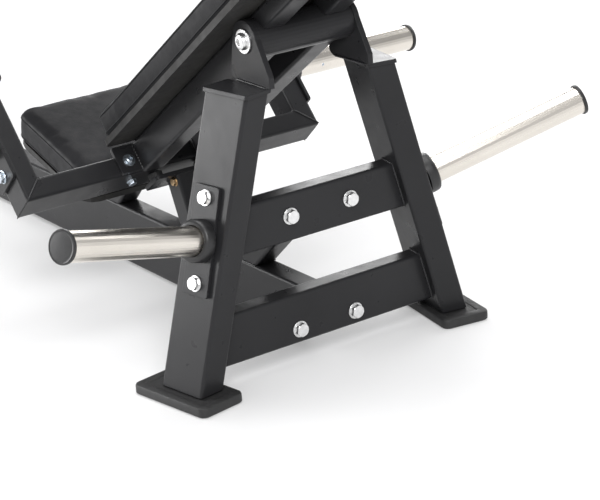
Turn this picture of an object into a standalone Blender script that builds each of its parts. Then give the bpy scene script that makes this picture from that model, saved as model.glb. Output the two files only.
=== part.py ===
"""Plate-loaded leg press machine: an A-shaped rear frame carries a swinging U-lever with a back pad.

Metres, +Z up.  -Y is the front (foot plate end), +Y the rear (A-frame end), +X the user's left.
The origin lies on the floor, below the middle of the machine.
"""
from math import atan2, cos, pi, radians, sin

import bmesh
import bpy
from mathutils import Matrix, Vector

# ---------------------------------------------------------------- driving dimensions
GAP = 0.0003                   # clearance kept between touching pieces
CROSS_Y = 0.82182                # rear face of the two rear cross members
WALL = 0.003                   # wall of the square and rectangular tubes
CORNER = 0.005                 # outside corner radius of those tubes

LEG_DEPTH = 0.100              # rear leg tube, fore and aft
LEG_WIDTH = 0.050              # rear leg tube, side to side, square to its faces
LEG_LEAN = 0.278               # inward run per unit of height
LEG_TURN = radians(9.4)        # plan rotation that turns each leg's outer face rearwards
LEG_OUT = 0.292                # outer rear corner of the leg at the floor
LEG_REAR = 0.031               # the same corner, behind the cross members
LEG_TOP = 0.503
FOOT_SIZE = (0.094, 0.181, 0.018)
FOOT_REAR = 0.036              # how far the foot runs on behind the leg
FOOT_SIDE = 0.022              # and outside it
CAP_THICK = 0.007
CAP_LIP = 0.003

BEAM_DEPTH = 0.038             # rear cross members, fore and aft
UPPER_Z = (0.231, 0.316)
LOWER_Z = (0.043, 0.134)
SPINE_HALF = 0.0225
SPINE_Z = (0.005, 0.124)
SPINE_FRONT = -1.785
SPINE_HEEL = (0.026, 0.090)     # height, and length forward, of the slope under the spine's rear end
PLATE_THICK = 0.005
BRACE_FOOT = -0.185            # where the underside of the brace meets the top of the spine
BRACE_ANGLE = radians(41)
BRACE_DEPTH = 0.046

PIVOT = (-0.034, 0.580)        # lever axis: Y from the cross members, Z
EAR_IN = 0.095
EAR_THICK = 0.010
EAR_BASE = (0.031, -0.080)
EAR_TOP_RADIUS = 0.034
PIVOT_RADIUS = 0.033
PIVOT_WALL = 0.004
SHAFT_RADIUS = 0.0125
RUNNING = 0.00008              # radial running clearance
ROUND_STEPS = 48               # facets of the running fits, fine enough not to bind as they turn
WASHER_RADIUS = 0.021

RAIL_ANGLE = radians(35.4)
RAIL_X = (0.038, 0.084)
RAIL_N = (-0.025, 0.035)       # underside and top, square to the rail, from the lever axis
RAIL_EXTENSION = 0.150

LEVER_CORNER = (-0.4527, 0.2576)   # rear lower edge of the U, Y and Z
LEVER_ANGLE = radians(48)
LEVER_HALF = 0.322
LEVER_TUBE = (0.040, 0.070)    # in the plane of the U, and square to it
LEVER_ARM = 0.550
FLANGE_THICK = 0.008
FLANGE_X = (0.036, 0.127)
FLANGE_LENGTH = 0.055

HORN_RADIUS = 0.025
HORN_WALL = 0.003
COLLAR_RADIUS = 0.0325
COLLAR_LENGTH = 0.025
HORN_CAP_RADIUS = 0.0256
HORN_CAP_THICK = 0.004
HORN_PLATE_THICK = 0.006
STORAGE_Z = 0.270
STORAGE_AZIMUTH = radians(17)
STORAGE_RISE = radians(16.6)
STORAGE_LENGTH = 0.330
STORAGE_PLATE = (0.060, 0.185)
LOAD_ALONG = 0.147             # centre of the load horn, along the arm
LOAD_LENGTH = 0.322
LOAD_PLATE = (0.080, 0.190)

BACK_HALF = 0.150
BACK_THICK = 0.063
BACK_BOARD = 0.012
BACK_ALONG = (-0.520, 0.330)   # pad ends along the rails, from the lever axis
SEAT_HALF = 0.150
SEAT_Y = (-0.836, -0.560)
SEAT_TILT = radians(16.3)
SEAT_Z = 0.2313                # top of the seat at its rear edge
SEAT_THICK = 0.055
SEAT_BOARD = 0.012
SEAT_RAIL = 0.030
SEAT_POST_Y = (-0.700, -0.790)
SEAT_POST_LEAN = radians(45)
SEAT_POST_DEPTH = 0.045

REST_ALONG = (-0.578, -0.518)
REST_N = (-0.0475, -0.0395)
REST_HALF = 0.066
BUMPER_X = 0.050
BUMPER_RADIUS = 0.014
REST_POST_FOOT = -0.433
REST_POST_LEAN = radians(22.8)
REST_POST_DEPTH = 0.046

FRONT_TUBE = 0.060
FRONT_HALF = 0.235
FOOT_PLATE_REAR = (-1.585, 0.150)
FOOT_PLATE_ANGLE = radians(38)
FOOT_PLATE_LENGTH = 0.330
FOOT_PLATE_HALF = 0.200
FOOT_PLATE_THICK = 0.006
STRUT_X = 0.140

ROLLER_ALONG = 0.500
ROLLER_RADIUS = 0.060
ROLLER_HALF = 0.235
AXLE_RADIUS = 0.0125
HANDLE_ALONG = 0.400
HANDLE_REACH = 0.135
HANDLE_RADIUS = 0.0125
GRIP_RADIUS = 0.0165

MATERIALS = {
    "powder_coat": ((0.035, 0.035, 0.038), 0.0, 0.45),
    "chrome": ((0.80, 0.79, 0.76), 1.0, 0.12),
    "zinc": ((0.62, 0.63, 0.66), 1.0, 0.30),
    "bronze": ((0.45, 0.30, 0.14), 1.0, 0.35),
    "leatherette": ((0.045, 0.045, 0.048), 0.0, 0.55),
    "rubber": ((0.022, 0.022, 0.023), 0.0, 0.80),
    "plastic": ((0.028, 0.028, 0.030), 0.0, 0.50),
    "plywood": ((0.050, 0.045, 0.040), 0.0, 0.70),
}


# ---------------------------------------------------------------- scene and helpers
def clear_scene():
    for item in list(bpy.data.objects):
        bpy.data.objects.remove(item, do_unlink=True)


def new_collection(name, hidden=False):
    collection = bpy.data.collections.new(name)
    bpy.context.scene.collection.children.link(collection)
    collection.hide_render = hidden
    return collection


def material(name):
    found = bpy.data.materials.get(name)
    if found:
        return found
    colour, metallic, roughness = MATERIALS[name]
    made = bpy.data.materials.new(name)
    made.use_nodes = True
    shader = made.node_tree.nodes["Principled BSDF"]
    shader.inputs["Base Color"].default_value = (*colour, 1.0)
    shader.inputs["Metallic"].default_value = metallic
    shader.inputs["Roughness"].default_value = roughness
    return made


def at(x, y, z):
    """A point given from the rear face of the cross members."""
    return Vector((x, y + CROSS_Y, z))


def axes(origin, x_axis, z_axis):
    """A placement whose X and Z run along the two directions given."""
    z = Vector(z_axis).normalized()
    y = z.cross(Vector(x_axis)).normalized()
    x = y.cross(z)
    placed = Matrix((x, y, z)).transposed().to_4x4()
    placed.translation = origin
    return placed


def finish(name, shape, look, parent=None, collection=None):
    """Turn a bmesh in world space into the named object."""
    mesh = bpy.data.meshes.new(name)
    bmesh.ops.recalc_face_normals(shape, faces=shape.faces)
    shape.to_mesh(mesh)
    shape.free()
    mesh.shade_smooth()
    mesh.set_sharp_from_angle(angle=radians(35))
    mesh.materials.append(material(look))
    made = bpy.data.objects.new(name, mesh)
    (collection or PARTS).objects.link(made)
    if parent:
        made.parent = parent
        made.matrix_parent_inverse = parent.matrix_world.inverted()
    return made


def mirrored(source, name, parent=None):
    """The opposite hand of a piece, as an object of its own."""
    shape = bmesh.new()
    shape.from_mesh(source.data)
    bmesh.ops.scale(shape, vec=(-1, 1, 1), verts=shape.verts)
    return finish(name, shape, source.data.materials[0].name, parent)


def pair(name, shape, look, parent=None):
    """The left piece, and its mirror image across the machine's middle plane as the right one."""
    left = finish(name + "_left", shape, look, parent)
    return left, mirrored(left, name + "_right", parent)


def combine(target, shape, operation):
    """Weld a shape to an object, or cut it away, with the shape kept as a hidden helper."""
    helper = finish(target.name + "_" + operation.lower(), shape, "powder_coat", collection=CUTTERS)
    helper.hide_render = True
    helper.display_type = 'WIRE'
    joint = target.modifiers.new(helper.name, 'BOOLEAN')
    joint.operation = operation
    joint.solver = 'EXACT'
    joint.object = helper
    return target


def empty(name, location):
    made = bpy.data.objects.new(name, None)
    made.location = location
    made.empty_display_size = 0.05
    PARTS.objects.link(made)
    bpy.context.view_layer.update()
    return made


def add(shape, piece):
    """Move one bmesh into another."""
    mesh = bpy.data.meshes.new("piece")
    piece.to_mesh(mesh)
    piece.free()
    shape.from_mesh(mesh)
    bpy.data.meshes.remove(mesh)
    return shape


def block(size, bevel=0.0, segments=2):
    shape = bmesh.new()
    bmesh.ops.create_cube(shape, size=1.0, matrix=Matrix.Diagonal((*size, 1.0)))
    if bevel:
        bmesh.ops.bevel(shape, geom=shape.edges[:], offset=bevel, segments=segments, profile=0.5,
                        affect='EDGES')
    return shape


def rounded_slab(size, radius, edge=0.0, segments=5):
    """A flat block with its upright corners rounded, and a small bevel around its top."""
    shape = bmesh.new()
    bmesh.ops.create_cube(shape, size=1.0, matrix=Matrix.Diagonal((*size, 1.0)))
    upright = [e for e in shape.edges if abs(e.verts[0].co.z - e.verts[1].co.z) > size[2] / 2]
    bmesh.ops.bevel(shape, geom=upright, offset=radius, segments=segments, profile=0.5, affect='EDGES')
    if edge:
        rim = [e for e in shape.edges if min(v.co.z for v in e.verts) > size[2] / 2 - 1e-6]
        bmesh.ops.bevel(shape, geom=rim, offset=edge, segments=2, profile=0.5, affect='EDGES')
    return shape


def box_shell(width, depth, radius, length, cuts):
    """The four walls of a box tube along Z, open at both ends, trimmed by planes."""
    shell = bmesh.new()
    bmesh.ops.create_cube(shell, size=1.0, matrix=Matrix.Diagonal((width, depth, length, 1.0)))
    long_edges = [e for e in shell.edges if abs(e.verts[0].co.z - e.verts[1].co.z) > length / 2]
    bmesh.ops.bevel(shell, geom=long_edges, offset=radius, segments=3, profile=0.5, affect='EDGES')
    return opened(shell, cuts)


def round_shell(radius, length, cuts, segments=32):
    shell = bmesh.new()
    bmesh.ops.create_cone(shell, cap_ends=False, segments=segments, radius1=radius, radius2=radius,
                          depth=length)
    return opened(shell, cuts)


def opened(shell, cuts):
    ends = [f for f in shell.faces if abs(f.normal.z) > 0.5]
    bmesh.ops.delete(shell, geom=ends, context='FACES')
    for point, normal in cuts:
        everything = shell.verts[:] + shell.edges[:] + shell.faces[:]
        bmesh.ops.bisect_plane(shell, geom=everything, plane_co=point, plane_no=normal,
                               clear_outer=True, dist=1e-7)
    return shell


def hollow(outer, inner):
    """Join two open shells into one tube wall by bridging their rims."""
    bmesh.ops.reverse_faces(inner, faces=inner.faces)
    add(outer, inner)
    middle = sum((v.co.z for v in outer.verts), 0.0) / len(outer.verts)
    rims = [e for e in outer.edges if e.is_boundary]
    for side in (-1, 1):
        rim = [e for e in rims if side * ((e.verts[0].co.z + e.verts[1].co.z) / 2 - middle) > 0]
        bmesh.ops.bridge_loops(outer, edges=rim)
    return outer


def box_tube(width, depth, length, placement, cuts=(), wall=WALL, corner=CORNER):
    """A rectangular tube centred on the placement, along its Z; cuts are planes in world space."""
    local = [(placement.inverted() @ point, placement.to_3x3().transposed() @ normal)
             for point, normal in cuts]
    outer = box_shell(width, depth, corner, length, local)
    inner = box_shell(width - 2 * wall, depth - 2 * wall, corner - wall * 0.7, length, local)
    tube = hollow(outer, inner)
    bmesh.ops.transform(tube, matrix=placement, verts=tube.verts)
    return tube


def round_tube(outer_radius, inner_radius, length, placement, cuts=(), segments=32):
    local = [(placement.inverted() @ point, placement.to_3x3().transposed() @ normal)
             for point, normal in cuts]
    tube = hollow(round_shell(outer_radius, length, local, segments),
                  round_shell(inner_radius, length, local, segments))
    bmesh.ops.transform(tube, matrix=placement, verts=tube.verts)
    return tube


def turned(profile, placement, steps=28):
    """A solid of revolution about the placement's Z; the profile runs from axis to axis."""
    shape = bmesh.new()
    verts = [shape.verts.new((radius, 0.0, height)) for radius, height in profile]
    edges = [shape.edges.new(pair) for pair in zip(verts, verts[1:])]
    bmesh.ops.spin(shape, geom=verts + edges, cent=(0, 0, 0), axis=(0, 0, 1), angle=2 * pi,
                   steps=steps, use_merge=True)
    bmesh.ops.remove_doubles(shape, verts=shape.verts, dist=1e-6)
    bmesh.ops.recalc_face_normals(shape, faces=shape.faces)
    bmesh.ops.transform(shape, matrix=placement, verts=shape.verts)
    return shape


def arc(centre, radius, start, end, count):
    """Points along an arc in the plane of an outline; the angles are in radians."""
    step = (end - start) / count
    return [(centre[0] + radius * cos(start + step * i), centre[1] + radius * sin(start + step * i))
            for i in range(count + 1)]


def plate(name, outlines, thick, placement, look, parent=None):
    """A flat plate: a filled 2D curve, centred on the placement's XY plane, made into a mesh."""
    curve = bpy.data.curves.new(name, 'CURVE')
    curve.dimensions = '2D'
    curve.fill_mode = 'BOTH'
    curve.extrude = thick / 2
    for outline in outlines:
        spline = curve.splines.new('POLY')
        spline.points.add(len(outline) - 1)
        for point, (x, y) in zip(spline.points, outline):
            point.co = (x, y, 0.0, 1.0)
        spline.use_cyclic_u = True
    guide = bpy.data.objects.new(name + "_outline", curve)
    CUTTERS.objects.link(guide)
    graph = bpy.context.evaluated_depsgraph_get()
    mesh = bpy.data.meshes.new_from_object(guide.evaluated_get(graph))
    bpy.data.objects.remove(guide, do_unlink=True)
    shape = bmesh.new()
    shape.from_mesh(mesh)
    bpy.data.meshes.remove(mesh)
    bmesh.ops.remove_doubles(shape, verts=shape.verts, dist=1e-6)
    bmesh.ops.transform(shape, matrix=placement, verts=shape.verts)
    return finish(name, shape, look, parent)


def bolt_head(placement, radius=0.015, height=0.011):
    """A flanged bolt head that stands on its face."""
    flange = 0.003
    head = radius * 0.72
    profile = [(0, 0), (radius, 0), (radius, flange), (head, flange), (head, height - 0.002),
               (head * 0.8, height), (0, height)]
    return turned(profile, placement, steps=18)


# ---------------------------------------------------------------- directions
def across(x=1.0):
    return Vector((x, 0.0, 0.0))


def leg_normal():
    """Outward normal of the left leg's outer face."""
    return Vector((cos(LEG_TURN), sin(LEG_TURN), LEG_LEAN * cos(LEG_TURN))).normalized()


def leg_forward():
    return Vector((sin(LEG_TURN), -cos(LEG_TURN), 0.0))


def leg_corner(z):
    return at(LEG_OUT - LEG_LEAN * z, LEG_REAR, z)


def leg_face(z, forward):
    """A point on the left leg's outer face, a distance forward of its rear corner."""
    return leg_corner(z) + leg_forward() * forward


def leg_shear(z_base):
    """Leans an upright piece inwards about the height given."""
    lean = Matrix.Identity(4)
    lean[0][2] = -LEG_LEAN
    return Matrix.Translation((0, 0, z_base)) @ lean @ Matrix.Translation((0, 0, -z_base))


def pivot_point(x=0.0):
    return at(x, *PIVOT)


def rail_dir():
    return Vector((0.0, cos(RAIL_ANGLE), sin(RAIL_ANGLE)))


def rail_up():
    return Vector((0.0, -sin(RAIL_ANGLE), cos(RAIL_ANGLE)))


def rail_point(x, along, off):
    return pivot_point(x) + rail_dir() * along + rail_up() * off


def arm_dir():
    return Vector((0.0, -cos(LEVER_ANGLE), sin(LEVER_ANGLE)))


def arm_out():
    """Outward normal of the U's rear upper face."""
    return Vector((0.0, sin(LEVER_ANGLE), cos(LEVER_ANGLE)))


def lever_point(x, along, deep):
    """A point of the U: along the arms from its rear edge, and deep below its rear upper face."""
    return at(x, *LEVER_CORNER) + arm_dir() * along - arm_out() * deep


# ---------------------------------------------------------------- rear frame
def leg_block(low, high, lip=0.0):
    """Placement centre and size of a leg-shaped block between two heights."""
    width = LEG_WIDTH / cos(atan2(LEG_LEAN, 1.0))
    inward = Vector((-cos(LEG_TURN), -sin(LEG_TURN), 0.0))
    centre = leg_corner(low) + leg_forward() * LEG_DEPTH / 2 + inward * width / 2
    centre.z = (low + high) / 2
    return centre, (width + 2 * lip, LEG_DEPTH + 2 * lip, high - low)


def rear_legs():
    low = FOOT_SIZE[2] + GAP
    centre, size = leg_block(low, LEG_TOP)
    placement = Matrix.Translation(centre) @ Matrix.Rotation(LEG_TURN, 4, 'Z')
    leg = box_tube(size[0], size[1], size[2], placement)
    bmesh.ops.transform(leg, matrix=leg_shear(low), verts=leg.verts)
    pair("rear_leg", leg, "powder_coat")


def leg_caps():
    low = LEG_TOP + GAP
    high = low + CAP_THICK
    centre, size = leg_block(low, high, CAP_LIP)
    cap = rounded_slab(size, 0.004, segments=2)
    placement = Matrix.Translation(centre) @ Matrix.Rotation(LEG_TURN, 4, 'Z')
    bmesh.ops.transform(cap, matrix=leg_shear(low) @ placement, verts=cap.verts)
    pair("leg_cap", cap, "powder_coat")


def rear_feet():
    inward = Vector((-cos(LEG_TURN), -sin(LEG_TURN), 0.0))
    corner = leg_corner(0.0) - leg_forward() * FOOT_REAR - inward * FOOT_SIDE
    centre = corner + leg_forward() * FOOT_SIZE[1] / 2 + inward * FOOT_SIZE[0] / 2
    centre.z = FOOT_SIZE[2] / 2
    foot = rounded_slab(FOOT_SIZE, 0.014, edge=0.003)
    placement = Matrix.Translation(centre) @ Matrix.Rotation(LEG_TURN, 4, 'Z')
    bmesh.ops.transform(foot, matrix=placement, verts=foot.verts)
    pair("rear_foot", foot, "rubber")


def leg_inner_cuts():
    """The planes of both legs' inner faces, as cuts for what runs between the legs."""
    normal = leg_normal()
    point = leg_face(0.2, 0.0) - normal * (LEG_WIDTH + GAP)
    other = Vector((-normal.x, normal.y, normal.z))
    return [(point, normal), (Vector((-point.x, point.y, point.z)), other)]


def cross_members():
    for name, (low, high) in (("upper_cross_member", UPPER_Z), ("lower_cross_member", LOWER_Z)):
        middle = at(0, -BEAM_DEPTH / 2, (low + high) / 2)
        placement = axes(middle, (0, 0, 1), (1, 0, 0))
        tube = box_tube(high - low, BEAM_DEPTH, 0.7, placement, leg_inner_cuts())
        finish(name, tube, "powder_coat")


def spine():
    """The long low beam, with the plate that its rear end is welded to."""
    rear = -BEAM_DEPTH - GAP
    start = rear - PLATE_THICK / 2
    length = start - SPINE_FRONT
    middle = at(0, start - length / 2, sum(SPINE_Z) / 2)
    heel, run = SPINE_HEEL
    under = Vector((0, heel - SPINE_Z[0], -run)).normalized()
    tube = box_tube(2 * SPINE_HALF, SPINE_Z[1] - SPINE_Z[0], length, axes(middle, (1, 0, 0), (0, 1, 0)),
                    [(at(0, start, heel), under)])
    beam = finish("spine_beam", tube, "powder_coat")
    top = SPINE_Z[1] + 0.006
    slab = block((0.070, PLATE_THICK, top - heel), 0.0015, 1)
    bmesh.ops.transform(slab, matrix=Matrix.Translation(at(0, rear - PLATE_THICK / 2, (top + heel) / 2)),
                        verts=slab.verts)
    combine(beam, slab, 'UNION')


def brace():
    along = Vector((0, cos(BRACE_ANGLE), sin(BRACE_ANGLE)))
    up = Vector((0, -sin(BRACE_ANGLE), cos(BRACE_ANGLE)))
    middle = at(0, BRACE_FOOT, SPINE_Z[1]) + up * BRACE_DEPTH / 2 + along * 0.1
    cuts = [(at(0, 0, SPINE_Z[1] + GAP), Vector((0, 0, -1))),
            (at(0, -BEAM_DEPTH - GAP, 0), Vector((0, 1, 0)))]
    tube = box_tube(2 * SPINE_HALF, BRACE_DEPTH, 0.42, axes(middle, (1, 0, 0), along), cuts)
    finish("spine_brace", tube, "powder_coat")


def pivot_ears():
    """Upright plates on the leg caps, tapering to a round top about the lever axis."""
    base = LEG_TOP + CAP_THICK + 2 * GAP
    rise = PIVOT[1] - base
    rear = EAR_BASE[0] - PIVOT[0]
    front = EAR_BASE[1] - PIVOT[0]
    foot = 0.012
    crown = arc((0, 0), EAR_TOP_RADIUS, radians(12), radians(172), 14)
    toe = arc((front + foot, foot - rise), foot, pi, 1.5 * pi, 4)
    outline = [(rear, -rise), (rear, -rise + 0.018)] + crown + toe
    hole = arc((0, 0), SHAFT_RADIUS + RUNNING, 0.0, 2 * pi, ROUND_STEPS)[:-1]
    placement = axes(pivot_point(EAR_IN + EAR_THICK / 2), (0, 1, 0), (1, 0, 0))
    left = plate("pivot_ear_left", [outline, hole], EAR_THICK, placement, "powder_coat")
    mirrored(left, "pivot_ear_right")


def pivot_hardware():
    outer = EAR_IN + EAR_THICK
    shaft = bmesh.new()
    bmesh.ops.create_cone(shaft, cap_ends=True, segments=ROUND_STEPS, radius1=SHAFT_RADIUS,
                          radius2=SHAFT_RADIUS, depth=2 * outer)
    bmesh.ops.transform(shaft, matrix=axes(pivot_point(), (0, 1, 0), (1, 0, 0)), verts=shaft.verts)
    finish("pivot_shaft", shaft, "zinc")
    head = bolt_head(axes(pivot_point(outer + GAP), (0, 1, 0), (1, 0, 0)), WASHER_RADIUS, 0.012)
    pair("pivot_bolt", head, "chrome")


# ---------------------------------------------------------------- plate horns
def horn(base, direction, length, side, face_cut):
    """The tube, collar and end cap of one horn, as three shapes; the cut trims them at the plate."""
    place = axes(base, side, direction)
    middle = place @ Matrix.Translation((0, 0, length / 2 - 0.01))
    tube = round_tube(HORN_RADIUS, HORN_RADIUS - HORN_WALL, length + 0.02, middle, [face_cut])
    reach = COLLAR_LENGTH + 0.012
    ring_place = place @ Matrix.Translation((0, 0, COLLAR_LENGTH - reach / 2 + HORN_PLATE_THICK))
    collar = round_tube(COLLAR_RADIUS, HORN_RADIUS + GAP, reach, ring_place, [face_cut])
    plug = HORN_RADIUS - HORN_WALL - GAP
    thick = HORN_CAP_THICK
    dome = [(HORN_CAP_RADIUS, thick * 0.6), (HORN_CAP_RADIUS * 0.94, thick * 0.85), (0, thick)]
    profile = [(0, -0.020), (plug, -0.020), (plug, GAP), (HORN_CAP_RADIUS, GAP)] + dome
    cap = turned(profile, place @ Matrix.Translation((0, 0, length)))
    return tube, collar, cap


def storage_horns():
    normal = leg_normal()
    base = leg_face(STORAGE_Z, LEG_DEPTH / 2)
    face = base + normal * (HORN_PLATE_THICK + 2 * GAP)
    rise = cos(STORAGE_RISE)
    direction = Vector((rise * cos(STORAGE_AZIMUTH), rise * sin(STORAGE_AZIMUTH), sin(STORAGE_RISE)))
    tube, collar, cap = horn(base, direction, STORAGE_LENGTH, (0, 0, 1), (face, -normal))
    pair("storage_horn", tube, "chrome")
    pair("storage_horn_collar", collar, "plastic")
    pair("storage_horn_end_cap", cap, "plastic")
    up = normal.cross(leg_forward())
    up = up if up.z > 0 else -up
    place = axes(base + normal * (HORN_PLATE_THICK / 2 + GAP), up, normal)
    slab = rounded_slab((STORAGE_PLATE[1], STORAGE_PLATE[0], HORN_PLATE_THICK), 0.005, segments=3)
    bmesh.ops.transform(slab, matrix=place, verts=slab.verts)
    pair("storage_horn_plate", slab, "powder_coat")


def load_horns(lever):
    deep = LEVER_TUBE[1] / 2
    base = lever_point(LEVER_HALF, LOAD_ALONG, deep)
    face = base + across(HORN_PLATE_THICK + 2 * GAP)
    tube, collar, cap = horn(base, across(), LOAD_LENGTH, (0, 0, 1), (face, across(-1)))
    pair("load_horn", tube, "chrome", lever)
    pair("load_horn_collar", collar, "plastic", lever)
    pair("load_horn_end_cap", cap, "plastic", lever)
    place = axes(base + across(HORN_PLATE_THICK / 2 + GAP), arm_dir(), across())
    slab = rounded_slab((LOAD_PLATE[1], LOAD_PLATE[0], HORN_PLATE_THICK), 0.005, segments=3)
    bmesh.ops.transform(slab, matrix=place, verts=slab.verts)
    pair("load_horn_plate", slab, "powder_coat", lever)


# ---------------------------------------------------------------- swinging lever
def pivot_tube(lever):
    place = axes(pivot_point(), (0, 1, 0), (1, 0, 0))
    half = EAR_IN - 0.0005
    inner = PIVOT_RADIUS - PIVOT_WALL
    tube = round_tube(PIVOT_RADIUS, inner, 2 * half, place)
    finish("pivot_tube", tube, "powder_coat", lever)
    length = 0.024
    ring_place = place @ Matrix.Translation((0, 0, half - length / 2))
    ring = round_tube(inner - GAP, SHAFT_RADIUS + RUNNING, length, ring_place, segments=ROUND_STEPS)
    pair("pivot_bush", ring, "bronze", lever)


def cope(target):
    """Cut a piece of the lever to fit around the pivot tube."""
    radius = PIVOT_RADIUS + GAP
    rod = bmesh.new()
    bmesh.ops.create_cone(rod, cap_ends=True, segments=32, radius1=radius, radius2=radius,
                          depth=2 * EAR_IN)
    bmesh.ops.transform(rod, matrix=axes(pivot_point(), (0, 1, 0), (1, 0, 0)), verts=rod.verts)
    combine(target, rod, 'DIFFERENCE')


def rails(lever):
    """Two tubes run from the cross tube of the U up to the pivot tube, and carry the back pad."""
    width = RAIL_X[1] - RAIL_X[0]
    for hand, side in (("left", 1), ("right", -1)):
        x = side * sum(RAIL_X) / 2
        face = lever_point(0, 0, -FLANGE_THICK / 2 - GAP)
        cuts = [(face, -arm_out()), (rail_point(0, -GAP / 2, 0), rail_dir())]
        middle = rail_point(x, -0.33, sum(RAIL_N) / 2)
        tube = box_tube(width, RAIL_N[1] - RAIL_N[0], 0.8, axes(middle, (1, 0, 0), rail_dir()), cuts)
        rail = finish("lever_rail_" + hand, tube, "powder_coat", lever)
        combine(rail, rail_flange(side), 'UNION')
        cope(rail)
        middle = rail_point(x, RAIL_EXTENSION / 2 + GAP, RAIL_N[1] / 2)
        tube = box_tube(width, RAIL_N[1], RAIL_EXTENSION, axes(middle, (1, 0, 0), rail_dir()))
        cope(finish("rail_extension_" + hand, tube, "powder_coat", lever))


def rail_flange(side):
    """The bolting plate at the foot of a rail, on the U's rear upper face."""
    inner, outer = FLANGE_X
    slab = rounded_slab((outer - inner, FLANGE_LENGTH, FLANGE_THICK), 0.003, segments=2)
    centre = lever_point(side * (inner + outer) / 2, FLANGE_LENGTH / 2, -GAP - FLANGE_THICK / 2)
    bmesh.ops.transform(slab, matrix=axes(centre, (1, 0, 0), arm_out()), verts=slab.verts)
    return slab


def lever_frame(lever):
    """The U: a cross tube and two arms, mitred at the corners."""
    wide, deep = LEVER_TUBE
    corner = lever_point(LEVER_HALF, 0, 0)
    inner_corner = corner - across(wide) + arm_dir() * wide
    seam = (inner_corner - corner).normalized()
    mitre = Vector((seam.dot(arm_dir()), 0, 0)) - arm_dir() * seam.x
    mitre = mitre if mitre.x > 0 else -mitre
    other = Vector((-mitre.x, mitre.y, mitre.z))
    middle = lever_point(0, wide / 2, deep / 2)
    cross_cuts = [(corner - mitre * GAP / 2, mitre),
                  (Vector((-corner.x, corner.y, corner.z)) - other * GAP / 2, other)]
    cross = box_tube(wide, deep, 2 * LEVER_HALF + 0.05, axes(middle, arm_dir(), (1, 0, 0)), cross_cuts)
    finish("lever_cross_tube", cross, "powder_coat", lever)
    middle = lever_point(LEVER_HALF - wide / 2, LEVER_ARM / 2, deep / 2)
    arm_cuts = [(corner + mitre * GAP / 2, -mitre), (lever_point(0, LEVER_ARM, 0), arm_dir())]
    arm = box_tube(wide, deep, LEVER_ARM + 0.2, axes(middle, (1, 0, 0), arm_dir()), arm_cuts)
    pair("lever_arm", arm, "powder_coat", lever)


def handles(lever):
    """A grip peg stands out from each arm, beside the lap roller."""
    base = lever_point(LEVER_HALF + GAP, HANDLE_ALONG, LEVER_TUBE[1] / 2)
    reach = HANDLE_REACH
    profile = [(0, 0), (0.020, 0), (0.020, 0.004), (HANDLE_RADIUS, 0.004), (HANDLE_RADIUS, 0.008),
               (GRIP_RADIUS, 0.008), (GRIP_RADIUS, reach - 0.003), (GRIP_RADIUS - 0.003, reach), (0, reach)]
    pair("handle", turned(profile, axes(base, (0, 0, 1), (1, 0, 0)), 24), "rubber", lever)


def lap_roller(lever, roller):
    centre = lever_point(0, ROLLER_ALONG, LEVER_TUBE[1] / 2)
    place = axes(centre, (0, 0, 1), (1, 0, 0))
    half = LEVER_HALF - LEVER_TUBE[0] - GAP
    collar = 0.018
    shoulder = ROLLER_HALF + 0.0015
    profile = [(0, -half), (collar, -half), (collar, -shoulder), (AXLE_RADIUS, -shoulder),
               (AXLE_RADIUS, shoulder), (collar, shoulder), (collar, half), (0, half)]
    finish("lap_axle", turned(profile, place, ROUND_STEPS), "chrome", lever)
    core = [(AXLE_RADIUS + RUNNING, -ROLLER_HALF), (ROLLER_RADIUS - 0.012, -ROLLER_HALF),
            (ROLLER_RADIUS, -ROLLER_HALF + 0.012), (ROLLER_RADIUS, ROLLER_HALF - 0.012),
            (ROLLER_RADIUS - 0.012, ROLLER_HALF), (AXLE_RADIUS + RUNNING, ROLLER_HALF),
            (AXLE_RADIUS + RUNNING, -ROLLER_HALF)]
    finish("lap_roller", turned(core, place, ROUND_STEPS), "leatherette", roller)


def back_pad(lever):
    low, high = BACK_ALONG
    length = high - low
    middle = (low + high) / 2
    board = rounded_slab((2 * BACK_HALF - 0.012, length - 0.012, BACK_BOARD), 0.012, segments=3)
    off = RAIL_N[1] + GAP + BACK_BOARD / 2
    place = axes(rail_point(0, middle, off), (1, 0, 0), rail_up())
    bmesh.ops.transform(board, matrix=place, verts=board.verts)
    finish("back_board", board, "plywood", lever)
    pad = block((2 * BACK_HALF, length, BACK_THICK - BACK_BOARD), 0.014, 3)
    off = RAIL_N[1] + 2 * GAP + BACK_BOARD + (BACK_THICK - BACK_BOARD) / 2
    place = axes(rail_point(0, middle, off), (1, 0, 0), rail_up())
    bmesh.ops.transform(pad, matrix=place, verts=pad.verts)
    finish("back_pad", pad, "leatherette", lever)


# ---------------------------------------------------------------- seat and rests
def seat_frame():
    """Placement of the seat: its rear top edge, X across, Z square to the seat, Y forwards."""
    up = Vector((0, sin(SEAT_TILT), cos(SEAT_TILT)))
    return axes(at(0, SEAT_Y[1], SEAT_Z), (-1, 0, 0), up)


def seat():
    place = seat_frame()
    length = (SEAT_Y[1] - SEAT_Y[0]) / cos(SEAT_TILT)
    pad = rounded_slab((2 * SEAT_HALF, length, SEAT_THICK), 0.044, segments=5)
    rims = [e for e in pad.edges if abs(abs(e.verts[0].co.z) - SEAT_THICK / 2) < 1e-6
            and abs(e.verts[0].co.z - e.verts[1].co.z) < 1e-6]
    bmesh.ops.bevel(pad, geom=rims, offset=0.012, segments=2, profile=0.5, affect='EDGES')
    bmesh.ops.transform(pad, matrix=place @ Matrix.Translation((0, length / 2, -SEAT_THICK / 2)),
                        verts=pad.verts)
    finish("seat_pad", pad, "leatherette")
    board = rounded_slab((2 * SEAT_HALF - 0.020, length - 0.020, SEAT_BOARD), 0.035, segments=3)
    depth = SEAT_THICK + GAP + SEAT_BOARD / 2
    bmesh.ops.transform(board, matrix=place @ Matrix.Translation((0, length / 2, -depth)),
                        verts=board.verts)
    finish("seat_board", board, "plywood")


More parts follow.
